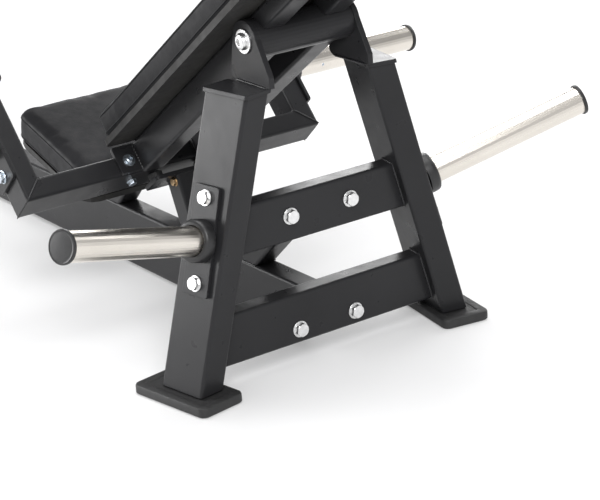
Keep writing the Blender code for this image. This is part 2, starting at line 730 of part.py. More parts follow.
def seat_support():
    """A rail under the seat board, on a leaning rear post and an upright front one, all welded."""
    place = seat_frame()
    up = place.to_3x3() @ Vector((0, 0, 1))
    length = (SEAT_Y[1] - SEAT_Y[0]) / cos(SEAT_TILT)
    under = -SEAT_THICK - SEAT_BOARD - 2 * GAP
    run = place @ Vector((0, length / 2 + 0.020, under - SEAT_RAIL / 2))
    rail = box_tube(2 * SPINE_HALF, SEAT_RAIL, length - 0.090,
                    axes(run, (1, 0, 0), place.to_3x3() @ Vector((0, 1, 0))))
    support = finish("seat_support", rail, "powder_coat")
    on_spine = (at(0, 0, SPINE_Z[1] + GAP), Vector((0, 0, -1)))
    in_rail = (place @ Vector((0, 0, under - SEAT_RAIL + WALL / 2)), up)
    lean = Vector((0, cos(SEAT_POST_LEAN), sin(SEAT_POST_LEAN)))
    for y, direction in ((SEAT_POST_Y[0], lean), (SEAT_POST_Y[1], Vector((0, 0, 1)))):
        post_place = axes(at(0, y, SPINE_Z[1]), (1, 0, 0), direction)
        post = box_tube(2 * SPINE_HALF - 0.001, SEAT_POST_DEPTH, 0.4, post_place, [on_spine, in_rail])
        combine(support, post, 'UNION')


def lever_rest():
    """The lever comes down on two rubber bumpers, on a plate across a leaning post."""
    lean = Vector((0, -sin(REST_POST_LEAN), cos(REST_POST_LEAN)))
    square = Vector((0, cos(REST_POST_LEAN), sin(REST_POST_LEAN)))
    front = at(0, REST_POST_FOOT, SPINE_Z[1])
    middle = front + square * REST_POST_DEPTH / 2 + lean * 0.05
    cuts = [(at(0, 0, SPINE_Z[1] + GAP), Vector((0, 0, -1))),
            (rail_point(0, 0, sum(REST_N) / 2), rail_up())]
    tube = box_tube(2 * SPINE_HALF, REST_POST_DEPTH, 0.3, axes(middle, (1, 0, 0), lean), cuts)
    post = finish("rest_post", tube, "powder_coat")
    along = sum(REST_ALONG) / 2
    slab = rounded_slab((2 * REST_HALF, REST_ALONG[1] - REST_ALONG[0], REST_N[1] - REST_N[0]), 0.006,
                        segments=3)
    bmesh.ops.transform(slab, matrix=axes(rail_point(0, along, sum(REST_N) / 2), (1, 0, 0), rail_up()),
                        verts=slab.verts)
    combine(post, slab, 'UNION')
    height = RAIL_N[0] - REST_N[1] - 2 * GAP
    profile = [(0, 0), (BUMPER_RADIUS, 0), (BUMPER_RADIUS, height - 0.002),
               (BUMPER_RADIUS - 0.002, height), (0, height)]
    base = rail_point(BUMPER_X, along, REST_N[1] + GAP)
    bumper = turned(profile, axes(base, (1, 0, 0), rail_up()), 24)
    pair("rest_bumper", bumper, "rubber")


# ---------------------------------------------------------------- front base and foot plate
def foot_plate_frame():
    """Placement at the foot plate's rear edge, on its underside: X across, Y up the slope."""
    slope = Vector((0, -cos(FOOT_PLATE_ANGLE), sin(FOOT_PLATE_ANGLE)))
    up = Vector((0, sin(FOOT_PLATE_ANGLE), cos(FOOT_PLATE_ANGLE)))
    return axes(at(0, *FOOT_PLATE_REAR), slope.cross(up), up)


def front_base():
    middle = at(0, SPINE_FRONT - GAP - FRONT_TUBE / 2, FOOT_SIZE[2] + GAP + FRONT_TUBE / 2)
    tube = box_tube(FRONT_TUBE, FRONT_TUBE, 2 * FRONT_HALF, axes(middle, (0, 1, 0), (1, 0, 0)))
    finish("front_cross_tube", tube, "powder_coat")
    foot = rounded_slab((0.110, 0.076, FOOT_SIZE[2]), 0.010, edge=0.003, segments=4)
    foot_place = Matrix.Translation((FRONT_HALF - 0.055, middle.y, FOOT_SIZE[2] / 2))
    bmesh.ops.transform(foot, matrix=foot_place, verts=foot.verts)
    pair("front_foot", foot, "rubber")


def foot_plate():
    place = foot_plate_frame()
    size = (2 * FOOT_PLATE_HALF, FOOT_PLATE_LENGTH, FOOT_PLATE_THICK)
    slab = rounded_slab(size, 0.020, edge=0.0015, segments=5)
    centre = Matrix.Translation((0, FOOT_PLATE_LENGTH / 2, FOOT_PLATE_THICK / 2 + GAP))
    bmesh.ops.transform(slab, matrix=place @ centre, verts=slab.verts)
    finish("foot_plate", slab, "powder_coat")
    under = (place.translation, place.to_3x3() @ Vector((0, 0, 1)))
    y = SPINE_FRONT - GAP - FRONT_TUBE / 2
    low = FOOT_SIZE[2] + 2 * GAP + FRONT_TUBE
    strut = box_tube(0.040, 0.040, 0.8, axes(at(STRUT_X, y, low), (1, 0, 0), (0, 0, 1)),
                     [(at(0, 0, low), Vector((0, 0, -1))), under])
    pair("foot_plate_strut", strut, "powder_coat")
    saddle = box_tube(2 * SPINE_HALF, 0.050, 0.4,
                      axes(at(0, FOOT_PLATE_REAR[0] - 0.045, SPINE_Z[1]), (1, 0, 0), (0, 0, 1)),
                      [(at(0, 0, SPINE_Z[1] + GAP), Vector((0, 0, -1))), under])
    finish("foot_plate_saddle", saddle, "powder_coat")


# ---------------------------------------------------------------- assembly
clear_scene()
PARTS = new_collection("leg_press_machine")
CUTTERS = new_collection("cutters", hidden=True)

LEVER = empty("lever_axis", pivot_point())
ROLLER = empty("roller_axis", lever_point(0, ROLLER_ALONG, LEVER_TUBE[1] / 2))
ROLLER.parent = LEVER
ROLLER.matrix_parent_inverse = LEVER.matrix_world.inverted()
bpy.context.view_layer.update()

rear_legs()
leg_caps()
rear_feet()
cross_members()
spine()
brace()
pivot_ears()
pivot_hardware()
storage_horns()
seat()
seat_support()
lever_rest()
front_base()
foot_plate()
pivot_tube(LEVER)
rails(LEVER)
lever_frame(LEVER)
load_horns(LEVER)
handles(LEVER)
back_pad(LEVER)
lap_roller(LEVER, ROLLER)
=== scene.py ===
"""Looks of the leg press machine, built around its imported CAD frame.  Metres, +Z up, -Y the front."""

from math import cos, pi, radians, sin, sqrt

import bmesh
import bpy
from mathutils import Matrix, Vector, noise


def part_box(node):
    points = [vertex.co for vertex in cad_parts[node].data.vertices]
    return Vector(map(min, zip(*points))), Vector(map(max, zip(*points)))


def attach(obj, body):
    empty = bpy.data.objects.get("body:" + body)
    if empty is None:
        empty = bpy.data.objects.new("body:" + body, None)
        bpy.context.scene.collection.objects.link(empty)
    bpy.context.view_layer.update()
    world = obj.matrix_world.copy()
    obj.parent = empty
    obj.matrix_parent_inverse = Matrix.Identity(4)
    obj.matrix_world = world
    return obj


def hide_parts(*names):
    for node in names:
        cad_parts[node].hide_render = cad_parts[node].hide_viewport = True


# ---------------------------------------------------------------- camera and light
CAMERA_PLACE = (1.7975, 3.4354, 1.3756)
CAMERA_YAW = radians(35.119)
CAMERA_PITCH = radians(22.097)
CAMERA_ROLL = radians(-3.617)
CAMERA_LENS = 118.41
CAMERA_SHIFT = (-0.0773, 0.0970)
FLOOR_HALF = 30.0

# ---------------------------------------------------------------- dimensions shared with the CAD part
CROSS_Y = 0.82182              # rear face of the rear cross members
GAP = 0.0003
LEG_DEPTH = 0.100
LEG_WIDTH = 0.050
LEG_LEAN = 0.278
LEG_TURN = radians(9.4)
LEG_OUT = 0.292
LEG_REAR = 0.031
LEG_TOP = 0.503
FOOT_SIZE = (0.094, 0.181, 0.018)
FOOT_REAR = 0.036
FOOT_SIDE = 0.022
CAP_THICK = 0.007
BEAM_DEPTH = 0.038
SPINE_HALF = 0.0225
SPINE_TOP = 0.124
PIVOT = (-0.034, 0.580)
EAR_IN = 0.095
EAR_THICK = 0.010
PIVOT_RADIUS = 0.033
RAIL_ANGLE = radians(35.4)
RAIL_X = (0.038, 0.084)
RAIL_N = (-0.025, 0.035)
RAIL_EXTENSION = 0.150
LEVER_CORNER = (-0.4527, 0.2576)
LEVER_ANGLE = radians(48)
LEVER_HALF = 0.322
LEVER_TUBE = (0.040, 0.070)
LEVER_ARM = 0.550
FLANGE_THICK = 0.008
HORN_RADIUS = 0.025
HORN_CAP_RADIUS = 0.0256
HORN_CAP_THICK = 0.004
HORN_CAP_LIP = 0.0022          # how far a moulded cap stands out past the CAD one
COLLAR_OUTER = 0.0365
COLLAR_LENGTH = 0.025
HORN_PLATE_THICK = 0.006
STORAGE_Z = 0.270
STORAGE_AZIMUTH = radians(17)
STORAGE_RISE = radians(16.6)
STORAGE_LENGTH = 0.330
STORAGE_BOLT_REACH = 0.072
LOAD_ALONG = 0.147
LOAD_LENGTH = 0.322
LOAD_BOLT_REACH = 0.075
BACK_HALF = 0.150
BACK_THICK = 0.051
BACK_BOARD = 0.012
BACK_ALONG = (-0.520, 0.330)
SEAT_HALF = 0.150
SEAT_Y = (-0.836, -0.560)
SEAT_TILT = radians(16.3)
SEAT_Z = 0.2313
SEAT_THICK = 0.055
SEAT_CORNER = 0.034
ROLLER_ALONG = 0.500
ROLLER_RADIUS = 0.060
ROLLER_HALF = 0.235
ROLLER_BORE = 0.0136

# ---------------------------------------------------------------- hardware placed
CROSS_BOLTS = ((0.0625, 0.276), (0.0595, 0.069))          # x and z on the two cross members
CROSS_BOLT_RADIUS = 0.0150
STORAGE_BOLT_RADIUS = 0.0140
LOAD_BOLT_RADIUS = 0.0130
POST_BOLT_RADIUS = 0.0090
POST_BOLT_SINK = 0.0003
FLANGE_BOLT_X = 0.1035
CROSS_TUBE_BOLT_X = 0.0935
CROSS_TUBE_BOLT_RADIUS = 0.0095
PIVOT_WASHER_RADIUS = 0.0210
STOP_SCREW_REACH = 0.088
STOP_SCREW_DROP = radians(-9)

# ---------------------------------------------------------------- foot plate mat and grips
TREAD_REAR = (-1.585, 0.150)
TREAD_ANGLE = radians(38)
TREAD_MIDDLE = 0.165
TREAD_LIFT = 0.0066
TREAD_LENGTH = 0.306
TREAD_PITCH = 0.018
GRIP_RIBS = 14

# ---------------------------------------------------------------- soft pieces
VOXEL = 0.0055
PRESSURE = 4.0
SIM_FRAMES = 20
PAD_INSET = 0.004
PAD_SWELL = 0.007
SEAT_SWELL = 0.006
SEAM_RADIUS = 0.0016

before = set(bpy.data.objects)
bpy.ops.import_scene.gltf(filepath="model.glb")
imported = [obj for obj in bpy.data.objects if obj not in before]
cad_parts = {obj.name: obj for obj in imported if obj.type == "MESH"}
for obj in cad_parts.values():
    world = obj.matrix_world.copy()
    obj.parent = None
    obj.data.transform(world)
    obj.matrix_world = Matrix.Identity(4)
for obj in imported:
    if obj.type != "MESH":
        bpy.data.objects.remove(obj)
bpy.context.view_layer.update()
BODY_FRAME, BODY_LEVER, BODY_ROLLER = "frame", "lever", "roller"


# ---------------------------------------------------------------- materials
class Look:
    """A procedural material under construction: its nodes and its surface shader."""

    def __init__(self, name, roughness, metallic=0.0):
        self.made = bpy.data.materials.new(name)
        self.made.use_nodes = True
        self.nodes = self.made.node_tree.nodes
        self.links = self.made.node_tree.links
        self.shader = self.nodes["Principled BSDF"]
        self.shader.inputs["Metallic"].default_value = metallic
        self.shader.inputs["Roughness"].default_value = roughness
        self.place = self.nodes.new("ShaderNodeTexCoord").outputs["Object"]

    def join(self, output, target):
        self.links.new(output, target)

    def turned_place(self, turn, stretch):
        """Object coordinates turned by a matrix, then scaled along each of the new axes."""
        rotation = self.nodes.new("ShaderNodeMapping")
        rotation.inputs["Rotation"].default_value = turn.to_euler()
        self.join(self.place, rotation.inputs["Vector"])
        scale = self.nodes.new("ShaderNodeMapping")
        scale.inputs["Scale"].default_value = stretch
        self.join(rotation.outputs["Vector"], scale.inputs["Vector"])
        return scale.outputs["Vector"]

    def noise(self, scale, detail=3.0, place=None):
        made = self.nodes.new("ShaderNodeTexNoise")
        made.inputs["Scale"].default_value = scale
        made.inputs["Detail"].default_value = detail
        self.join(place or self.place, made.inputs["Vector"])
        return made.outputs["Fac"]

    def cells(self, scale, feature='F1'):
        made = self.nodes.new("ShaderNodeTexVoronoi")
        made.feature = feature
        made.inputs["Scale"].default_value = scale
        self.join(self.place, made.inputs["Vector"])
        return made.outputs["Distance"]

    def ramp(self, factor, low, high, start, end):
        """Colours from start to end as the factor goes from low to high."""
        made = self.nodes.new("ShaderNodeValToRGB")
        made.color_ramp.elements[0].position = low
        made.color_ramp.elements[1].position = high
        made.color_ramp.elements[0].color = (*start, 1.0)
        made.color_ramp.elements[1].color = (*end, 1.0)
        self.join(factor, made.inputs["Fac"])
        return made.outputs["Color"]

    def spread(self, factor, start, end):
        """A number from start to end over the middle of a noise."""
        made = self.nodes.new("ShaderNodeMapRange")
        made.inputs["From Min"].default_value = 0.3
        made.inputs["From Max"].default_value = 0.7
        made.inputs["To Min"].default_value = start
        made.inputs["To Max"].default_value = end
        self.join(factor, made.inputs["Value"])
        return made.outputs["Result"]

    def mix(self, factor, first, second):
        made = self.nodes.new("ShaderNodeMix")
        made.data_type = 'RGBA'
        self.join(factor, made.inputs["Factor"])
        self.join(first, made.inputs["A"])
        made.inputs["B"].default_value = (*second, 1.0)
        return made.outputs["Result"]

    def worn_edges(self, radius, amount):
        """Where a softened normal leaves the true one, from 0 on the flat to amount on an edge."""
        bevel = self.nodes.new("ShaderNodeBevel")
        bevel.samples = 4
        bevel.inputs["Radius"].default_value = radius
        true = self.nodes.new("ShaderNodeNewGeometry")
        dot = self.nodes.new("ShaderNodeVectorMath")
        dot.operation = 'DOT_PRODUCT'
        self.join(bevel.outputs["Normal"], dot.inputs[0])
        self.join(true.outputs["Normal"], dot.inputs[1])
        spread = self.nodes.new("ShaderNodeMapRange")
        spread.inputs["From Min"].default_value = 0.995
        spread.inputs["From Max"].default_value = 0.80
        spread.inputs["To Max"].default_value = amount
        self.join(dot.outputs["Value"], spread.inputs["Value"])
        return spread.outputs["Result"]

    def bump(self, height, strength, distance, under=None, soft_edge=0.0):
        made = self.nodes.new("ShaderNodeBump")
        made.inputs["Strength"].default_value = strength
        made.inputs["Distance"].default_value = distance
        self.join(height, made.inputs["Height"])
        if under:
            self.join(under, made.inputs["Normal"])
        if soft_edge:
            bevel = self.nodes.new("ShaderNodeBevel")
            bevel.samples = 4
            bevel.inputs["Radius"].default_value = soft_edge
            self.join(bevel.outputs["Normal"], made.inputs["Normal"])
        return made.outputs["Normal"]

    def dress(self, colour=None, roughness=None, normal=None):
        if colour:
            self.join(colour, self.shader.inputs["Base Color"])
        if roughness:
            self.join(roughness, self.shader.inputs["Roughness"])
        if normal:
            self.join(normal, self.shader.inputs["Normal"])
        return self.made


def powder_coat():
    """Satin black powder coat: a fine orange-peel surface, a little greyer where edges are rubbed."""
    look = Look("powder_coat_satin", 0.42)
    base = look.ramp(look.noise(5.0), 0.3, 0.7, (0.0165, 0.0165, 0.0177), (0.0220, 0.0220, 0.0236))
    colour = look.mix(look.worn_edges(0.0015, 0.30), base, (0.040, 0.040, 0.043))
    peel = look.bump(look.noise(900.0, 2.0), 0.10, 0.0004, soft_edge=0.0016)
    look.shader.inputs["Specular IOR Level"].default_value = 0.21
    return look.dress(colour, look.spread(look.noise(34.0), 0.27, 0.35), peel)


def weld_metal():
    look = Look("powder_coat_weld", 0.36)
    base = look.ramp(look.noise(60.0), 0.35, 0.65, (0.008, 0.008, 0.009), (0.016, 0.016, 0.018))
    gloss = look.spread(look.noise(90.0), 0.30, 0.45)
    return look.dress(base, gloss, look.bump(look.noise(420.0), 0.2, 0.0004))


def chrome(name, direction):
    """Warm plated tube, with faint drawing lines and scuffs that run along it."""
    look = Look(name, 0.10, 1.0)
    turn = Vector(direction).to_track_quat('Z', 'Y').inverted().to_matrix()
    along = look.turned_place(turn, (1.0, 1.0, 0.02))
    patchy = look.noise(9.0)
    colour = look.ramp(patchy, 0.35, 0.7, (0.77, 0.73, 0.67), (0.70, 0.66, 0.60))
    lines = look.noise(900.0, 2.0, along)
    scuffs = look.bump(look.noise(14.0), 0.03, 0.002, under=look.bump(lines, 0.05, 0.0002))
    return look.dress(colour, look.spread(look.noise(40.0, 5.0, along), 0.20, 0.32), scuffs)


def bright_zinc(name, dark, light, rough):
    """Plated steel of the small hardware: faint mottling, a brushed face and softened edges."""
    look = Look(name, 0.2, 1.0)
    colour = look.ramp(look.noise(160.0), 0.3, 0.7, dark, light)
    normal = look.bump(look.noise(700.0), 0.08, 0.0003, soft_edge=0.0008)
    return look.dress(colour, look.spread(look.noise(220.0, 4.0), *rough), normal)


def leatherette():
    """Black vinyl with a pebbled grain, slightly uneven in gloss."""
    look = Look("leatherette_grain", 0.5)
    colour = look.ramp(look.noise(7.0, 4.0), 0.3, 0.7, (0.0120, 0.0120, 0.0132), (0.0180, 0.0180, 0.0196))
    pebbles = look.bump(look.cells(430.0, 'SMOOTH_F1'), 0.22, 0.0006)
    creases = look.bump(look.noise(38.0, 6.0), 0.16, 0.0022, under=pebbles)
    look.shader.inputs["Specular IOR Level"].default_value = 0.09
    return look.dress(colour, look.spread(look.noise(55.0, 4.0), 0.42, 0.58), creases)


def matte_black(name, dark, light, rough, grain, soft_edge=0.0012):
    """Moulded rubber or plastic: a fine speckle, uneven gloss and softened edges."""
    look = Look(name, 0.6)
    colour = look.ramp(look.noise(120.0, 5.0), 0.3, 0.7, dark, light)
    colour = look.mix(look.worn_edges(soft_edge, 0.25), colour, tuple(3 * c for c in light))
    return look.dress(colour, look.spread(look.noise(60.0), *rough),
                      look.bump(look.noise(grain, 3.0), 0.12, 0.0005, soft_edge=soft_edge))


def black_ply():
    """Board painted black, with the plies just showing through at its edges."""
    look = Look("plywood_black", 0.7)
    plies = look.nodes.new("ShaderNodeTexWave")
    plies.inputs["Scale"].default_value = 90.0
    plies.inputs["Distortion"].default_value = 2.5
    across_board = look.turned_place(Matrix.Rotation(-RAIL_ANGLE, 3, 'X'), (0.05, 0.05, 1.0))
    look.join(across_board, plies.inputs["Vector"])
    colour = look.ramp(plies.outputs["Fac"], 0.2, 0.9, (0.011, 0.0105, 0.010), (0.020, 0.019, 0.017))
    gloss = look.spread(look.noise(45.0), 0.58, 0.78)
    return look.dress(colour, gloss, look.bump(look.noise(300.0), 0.2, 0.0006))


def bronze():
    look = Look("bronze_bush", 0.35, 1.0)
    colour = look.ramp(look.noise(200.0), 0.3, 0.7, (0.42, 0.27, 0.12), (0.55, 0.37, 0.18))
    gloss = look.spread(look.noise(300.0), 0.28, 0.45)
    return look.dress(colour, gloss, look.bump(look.noise(600.0), 0.1, 0.0003))


def pale_floor():
    look = Look("studio_floor", 0.9)
    colour = look.ramp(look.noise(3.0), 0.3, 0.7, (0.55, 0.55, 0.553), (0.57, 0.57, 0.573))
    look.shader.inputs["Specular IOR Level"].default_value = 0.1
    look.shader.inputs["Emission Color"].default_value = (1.0, 1.0, 1.0, 1.0)
    look.shader.inputs["Emission Strength"].default_value = 0.27
    return look.dress(colour)


HORN_DIRECTIONS = {
    "storage_left": (cos(STORAGE_RISE) * cos(STORAGE_AZIMUTH), cos(STORAGE_RISE) * sin(STORAGE_AZIMUTH),
                     sin(STORAGE_RISE)),
    "storage_right": (-cos(STORAGE_RISE) * cos(STORAGE_AZIMUTH), cos(STORAGE_RISE) * sin(STORAGE_AZIMUTH),
                      sin(STORAGE_RISE)),
    "across": (1.0, 0.0, 0.0),
}
COAT = powder_coat()
WELD = weld_metal()
CHROMES = {name: chrome("chrome_" + name, way) for name, way in HORN_DIRECTIONS.items()}
BRIGHT = bright_zinc("chrome_bolt", (0.72, 0.72, 0.72), (0.84, 0.84, 0.84), (0.28, 0.40))
ZINC = bright_zinc("zinc_plate", (0.42, 0.48, 0.54), (0.60, 0.65, 0.70), (0.26, 0.40))
BRASS = bright_zinc("zinc_yellow", (0.42, 0.29, 0.16), (0.55, 0.40, 0.24), (0.30, 0.45))
BRONZE = bronze()
LEATHER = leatherette()
RUBBER = matte_black("rubber_moulded", (0.0150, 0.0150, 0.0155), (0.0215, 0.0215, 0.0220),
                     (0.50, 0.66), 500.0)
PLASTIC = matte_black("plastic_moulded", (0.0130, 0.0130, 0.0135), (0.0180, 0.0180, 0.0190),
                      (0.34, 0.46), 800.0)
PLY = black_ply()
SLOT_LOOKS = {"powder_coat": COAT, "chrome": CHROMES["across"], "zinc": ZINC, "bronze": BRONZE,
              "leatherette": LEATHER, "rubber": RUBBER, "plastic": PLASTIC, "plywood": PLY}


# ---------------------------------------------------------------- shape helpers
def at(x, y, z):
    """A point given from the rear face of the cross members."""
    return Vector((x, y + CROSS_Y, z))


def axes(origin, x_axis, z_axis):
    """A placement whose X and Z run along the two directions given."""
    z = Vector(z_axis).normalized()
    y = z.cross(Vector(x_axis)).normalized()
    x = y.cross(z)
    placed = Matrix((x, y, z)).transposed().to_4x4()
    placed.translation = origin
    return placed


def piece(name, shape, look, body, angle=35):
    """Turn a bmesh in world space into a piece that rides on a body."""
    mesh = bpy.data.meshes.new(name)
    bmesh.ops.recalc_face_normals(shape, faces=shape.faces)
    shape.to_mesh(mesh)
    shape.free()
    mesh.shade_smooth()
    mesh.set_sharp_from_angle(angle=radians(angle))
    mesh.materials.append(look)
    made = bpy.data.objects.new(name, mesh)
    bpy.context.scene.collection.objects.link(made)
    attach(made, body)
    return made


def turned(rings, placement, steps=48):
    """A solid of revolution about the placement's Z, from an open profile that ends on the axis."""
    return faceted([(height, round_at(radius)) for radius, height in rings], placement, steps)


def faceted(rings, placement, steps=48):
    """A closed solid built of rings; each ring is a height and a radius at every angle."""
    shape = bmesh.new()
    loops = []
    for height, radius_at in rings:
        if radius_at(0.0) < 1e-7:
            loops.append([shape.verts.new(placement @ Vector((0, 0, height)))])
            continue
        loop = []
        for a in (2 * pi * i / steps for i in range(steps)):
            radius = radius_at(a)
            loop.append(shape.verts.new(placement @ Vector((radius * cos(a), radius * sin(a), height))))
        loops.append(loop)
    for low, high in zip(loops, loops[1:]):
        join_loops(shape, low, high)
    return shape


def join_loops(shape, low, high):
    count = max(len(low), len(high))
    for i in range(count):
        j = (i + 1) % count
        if len(low) == 1:
            shape.faces.new((low[0], high[j], high[i]))
        elif len(high) == 1:
            shape.faces.new((low[i], low[j], high[0]))
        else:
            shape.faces.new((low[i], low[j], high[j], high[i]))


def hexagon(across_corners, most):
    """Radius of a hexagon at an angle, cut to a circle as by a chamfer."""
    def radius_at(angle):
        part = (angle + pi / 6) % (pi / 3) - pi / 6
        return min(across_corners * cos(pi / 6) / cos(part), most)
    return radius_at


def round_at(radius):
    return lambda angle: radius


def flange_bolt(name, placement, radius, look, body, height=0.009):
    """A hexagon head with a chamfered crown on its washer face, standing on the placement."""
    washer = radius * 0.14
    corner = radius * 0.86
    rings = [(0.0, round_at(0.0)), (0.0, round_at(radius * 0.985)), (washer * 0.4, round_at(radius)),
             (washer * 0.85, round_at(radius * 0.975)), (washer, round_at(radius * 0.93)),
             (washer, hexagon(corner, corner * 0.99)), (height * 0.80, hexagon(corner, corner * 0.96)),
             (height * 0.93, hexagon(corner, corner * 0.92)), (height, hexagon(corner, corner * 0.86)),
             (height * 1.01, round_at(corner * 0.60)), (height * 1.01, round_at(0.0))]
    return piece(name, faceted(rings, placement, 72), look, body, 25)


def dome_bolt(name, placement, washer, head, height, look, body, thick=0.0028):
    """A domed head with a hexagon socket, on a broad flat washer."""
    socket = hexagon(head * 0.46, head)
    rings = [(0.0, round_at(0.0)), (0.0, round_at(washer)), (thick * 0.7, round_at(washer)),
             (thick, round_at(washer * 0.96)), (thick, round_at(head)),
             (thick + height * 0.35, round_at(head)), (thick + height * 0.75, round_at(head * 0.88)),
             (thick + height, round_at(head * 0.62)),
             (thick + height, socket), (thick + height * 0.3, socket), (thick + height * 0.25, round_at(0.0))]
    return piece(name, faceted(rings, placement, 60), look, body, 30)


def swept_bead(shape, start, end, radius, pitch=0.006, seed=0):
    """One straight run of weld: a rounded bead with overlapping ripples, closed at both ends."""
    run = end - start
    length = run.length
    placement = axes(start, run.orthogonal(), run)
    count = max(6, int(length / pitch * 5))
    steps = 8
    loops = []
    for i in range(count + 1):
        t = i / count
        ripple = 1.0 + 0.13 * sin(2 * pi * t * length / pitch)
        wander = 1.0 + 0.10 * noise.noise(Vector((seed * 3.1, t * length * 60, 0.0)))
        taper = min(1.0, 0.25 + 8.0 * min(t, 1 - t))
        size = radius * ripple * wander * taper
        loops.append([shape.verts.new(placement @ Vector((size * cos(a), size * sin(a), t * length)))
                      for a in (2 * pi * k / steps for k in range(steps))])
    for low, high in zip(loops, loops[1:]):
        join_loops(shape, low, high)
    shape.faces.new(list(reversed(loops[0])))
    shape.faces.new(loops[-1])


def weld(name, corners, radius, body):
    """A weld bead that follows straight runs between corners."""
    shape = bmesh.new()
    for index, (start, end) in enumerate(zip(corners, corners[1:])):
        swept_bead(shape, start, end, radius, seed=index + len(name))
    return piece(name, shape, WELD, body, 60)


def slab_shape(outline, low, high, edge, placement):
    """A plate of the outline given, with a small round along its upper rim."""
    shape = bmesh.new()
    base = [shape.verts.new((x, y, low)) for x, y in outline]
    face = shape.faces.new(base)
    raised = bmesh.ops.extrude_face_region(shape, geom=[face])["geom"]
    top = [v for v in raised if isinstance(v, bmesh.types.BMVert)]
    for vert in top:
        vert.co.z = high
    rim = [e for e in shape.edges if min(v.co.z for v in e.verts) > (low + high) / 2]
    bmesh.ops.bevel(shape, geom=rim, offset=edge, segments=3, profile=0.5, affect='EDGES')
    bmesh.ops.transform(shape, matrix=placement, verts=shape.verts)
    return shape


def rounded_outline(width, depth, radius, steps=6):
    """Corner-rounded rectangle about the origin, counter-clockwise."""
    points = []
    for quarter, (sx, sy) in enumerate(((1, 1), (-1, 1), (-1, -1), (1, -1))):
        for i in range(steps + 1):
            a = pi / 2 * (quarter + i / steps)
            x = sx * (width / 2 - radius) + radius * cos(a)
            y = sy * (depth / 2 - radius) + radius * sin(a)
            points.append((x, y))
    return points


# ---------------------------------------------------------------- directions of the machine
def sided(point, side):
    """The point itself on the left, and its mirror image on the right."""
    return Vector((side * point[0], point[1], point[2]))


def leg_normal():
    return Vector((cos(LEG_TURN), sin(LEG_TURN), LEG_LEAN * cos(LEG_TURN))).normalized()


def leg_forward():
    return Vector((sin(LEG_TURN), -cos(LEG_TURN), 0.0))


def leg_face(z, forward):
    """A point on the left leg's outer face, a distance forward of its rear corner."""
    return at(LEG_OUT - LEG_LEAN * z, LEG_REAR, z) + leg_forward() * forward


def rail_dir():
    return Vector((0.0, cos(RAIL_ANGLE), sin(RAIL_ANGLE)))


def rail_up():
    return Vector((0.0, -sin(RAIL_ANGLE), cos(RAIL_ANGLE)))


def rail_point(x, along, off):
    return at(x, *PIVOT) + rail_dir() * along + rail_up() * off


def arm_dir():
    return Vector((0.0, -cos(LEVER_ANGLE), sin(LEVER_ANGLE)))


def arm_out():
    return Vector((0.0, sin(LEVER_ANGLE), cos(LEVER_ANGLE)))


def lever_point(x, along, deep):
    return at(x, *LEVER_CORNER) + arm_dir() * along - arm_out() * deep


SIDES = (("left", 1), ("right", -1))


# ---------------------------------------------------------------- CAD nodes that stay
def dress_frame():
    """Every CAD node takes the look of its record slot."""
    for name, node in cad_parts.items():
        for slot in node.material_slots:
            base = slot.material.name.split(".")[0]
            if name.startswith("storage_horn_") and base == "chrome":
                slot.material = CHROMES["storage_" + name.rsplit("_", 1)[1]]
            else:
                slot.material = SLOT_LOOKS[base]


# ---------------------------------------------------------------- bolts
def frame_bolts():
    back = (0, 1, 0)
    for index, (x, z) in enumerate(CROSS_BOLTS):
        for hand, side in SIDES:
            place = axes(at(side * x, 0.0002, z), (1, 0, 0.2), back)
            flange_bolt(f"cross_member_bolt_{index}_{hand}", place, CROSS_BOLT_RADIUS, BRIGHT,
                        BODY_FRAME, 0.0105)


def storage_plate_bolts():
    normal = leg_normal()
    up = normal.cross(leg_forward())
    up = up if up.z > 0 else -up
    centre = leg_face(STORAGE_Z, LEG_DEPTH / 2) + normal * (HORN_PLATE_THICK + 2 * GAP)
    for index, reach in enumerate((STORAGE_BOLT_REACH, -STORAGE_BOLT_REACH)):
        for hand, side in SIDES:
            place = axes(sided(centre + up * reach, side), up, sided(normal, side))
            flange_bolt(f"storage_plate_bolt_{index}_{hand}", place, STORAGE_BOLT_RADIUS, BRIGHT,
                        BODY_FRAME)


def load_plate_bolts():
    face = Vector((HORN_PLATE_THICK + 2 * GAP, 0, 0))
    centre = lever_point(LEVER_HALF, LOAD_ALONG, LEVER_TUBE[1] / 2) + face
    for index, reach in enumerate((LOAD_BOLT_REACH, -LOAD_BOLT_REACH)):
        for hand, side in SIDES:
            place = axes(sided(centre + arm_dir() * reach, side), (0, 0, 1), (side, 0, 0))
            flange_bolt(f"load_plate_bolt_{index}_{hand}", place, LOAD_BOLT_RADIUS, ZINC, BODY_LEVER)


def lever_bolts():
    for hand, side in SIDES:
        place = axes(lever_point(side * FLANGE_BOLT_X, 0.023, -FLANGE_THICK - GAP), (1, 0, 0), arm_out())
        dome_bolt("flange_bolt_" + hand, place, 0.0120, 0.0085, 0.0055, ZINC, BODY_LEVER)
        place = axes(lever_point(side * CROSS_TUBE_BOLT_X, 0.0, 0.036), (1, 0, 0), -arm_dir())
        flange_bolt("cross_tube_bolt_" + hand, place, CROSS_TUBE_BOLT_RADIUS, ZINC, BODY_LEVER, 0.008)


def post_bolts():
    posts = (("rest", -0.440, 0.224, BRASS, "bronze"), ("seat", -0.655, 0.170, ZINC, "zinc"))
    for hand, side in SIDES:
        for name, y, z, look, slot in posts:
            place = axes(at(side * (SPINE_HALF - POST_BOLT_SINK), y, z), (0, 0, 1), (side, 0, 0))
            flange_bolt(f"{name}_post_bolt_{hand}", place, POST_BOLT_RADIUS, look, BODY_FRAME, 0.007)


